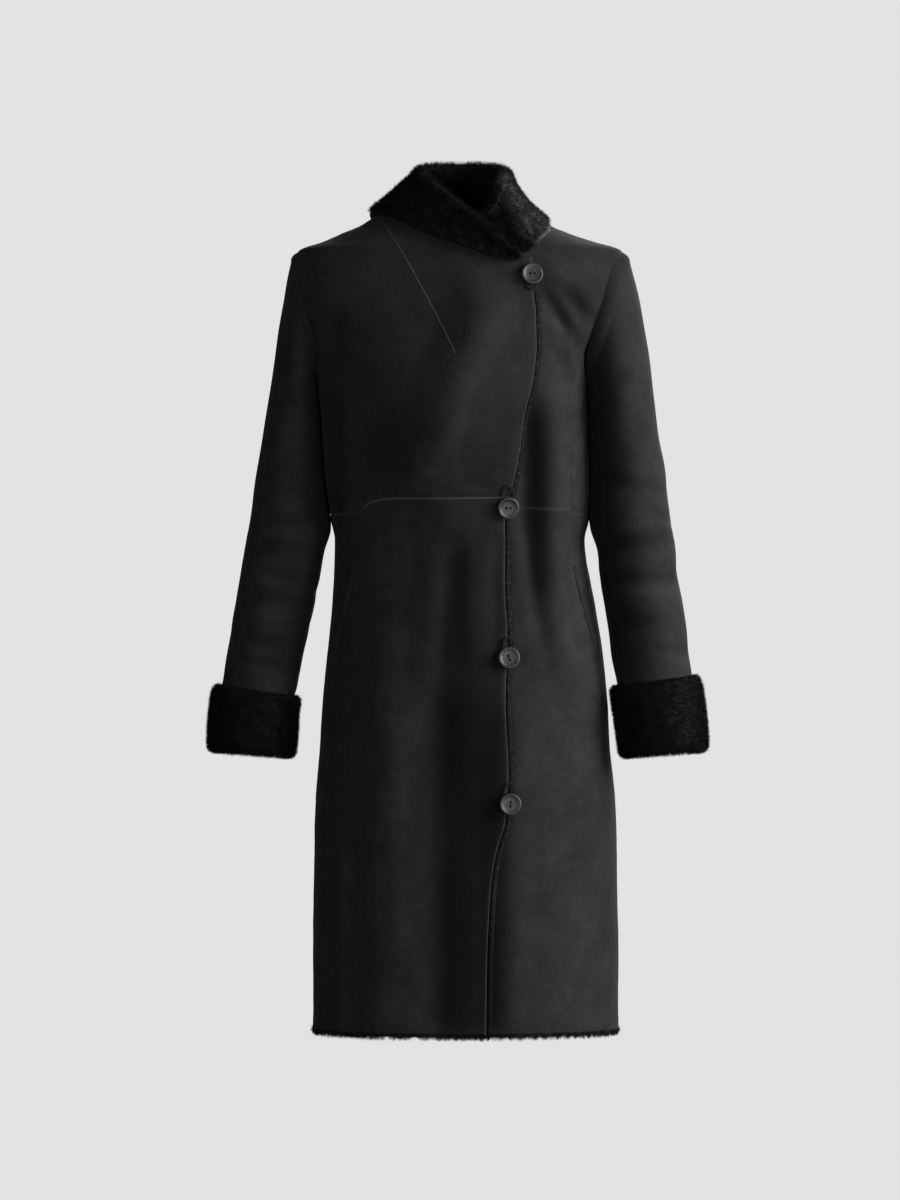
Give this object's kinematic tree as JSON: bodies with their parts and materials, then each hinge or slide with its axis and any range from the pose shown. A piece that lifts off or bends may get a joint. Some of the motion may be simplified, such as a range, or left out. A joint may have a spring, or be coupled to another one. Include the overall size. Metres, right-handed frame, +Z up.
{
  "type": "shearling coat",
  "caption": "Knee-length shearling coat with a crossed fur collar, side-fastening front and turned-back fur cuffs, filled out as worn",
  "frame": {"origin": "centre of the neck opening, level with the tops of the shoulders, where the wearer holds the coat up", "axes": "+Z up, the front faces -Y, the wearer's left side is +X"},
  "size_m": [0.6222, 0.3035, 1.0912],
  "materials": {
    "suede": "matte napped suede",
    "fur": "clipped wool pile",
    "button": "satin",
    "cord": "matte braided cord"
  },
  "bodies": {
    "root": {"front_bodice_right": "suede", "front_bodice_left": "suede", "back_bodice": "suede", "side_bodice_right": "suede", "side_bodice_left": "suede", "front_skirt_right": "suede", "front_skirt_left": "suede", "back_skirt": "suede", "side_skirt_right": "suede", "side_skirt_left": "suede", "sleeve_top_right": "suede", "sleeve_top_left": "suede", "sleeve_under_right": "suede", "sleeve_under_left": "suede", "pocket_welt_right": "suede", "pocket_welt_left": "suede", "collar": "fur", "cuff_right": "fur", "cuff_left": "fur", "front_edge_bodice": "fur", "front_edge_skirt": "fur", "hem_wool_front_right": "fur", "hem_wool_front_left": "fur", "hem_wool_back": "fur", "button_1": "button", "button_2": "button", "button_3": "button", "button_4": "button", "loop_1": "cord", "loop_2": "cord", "loop_3": "cord", "loop_4": "cord"}
  },
  "joints": []
}
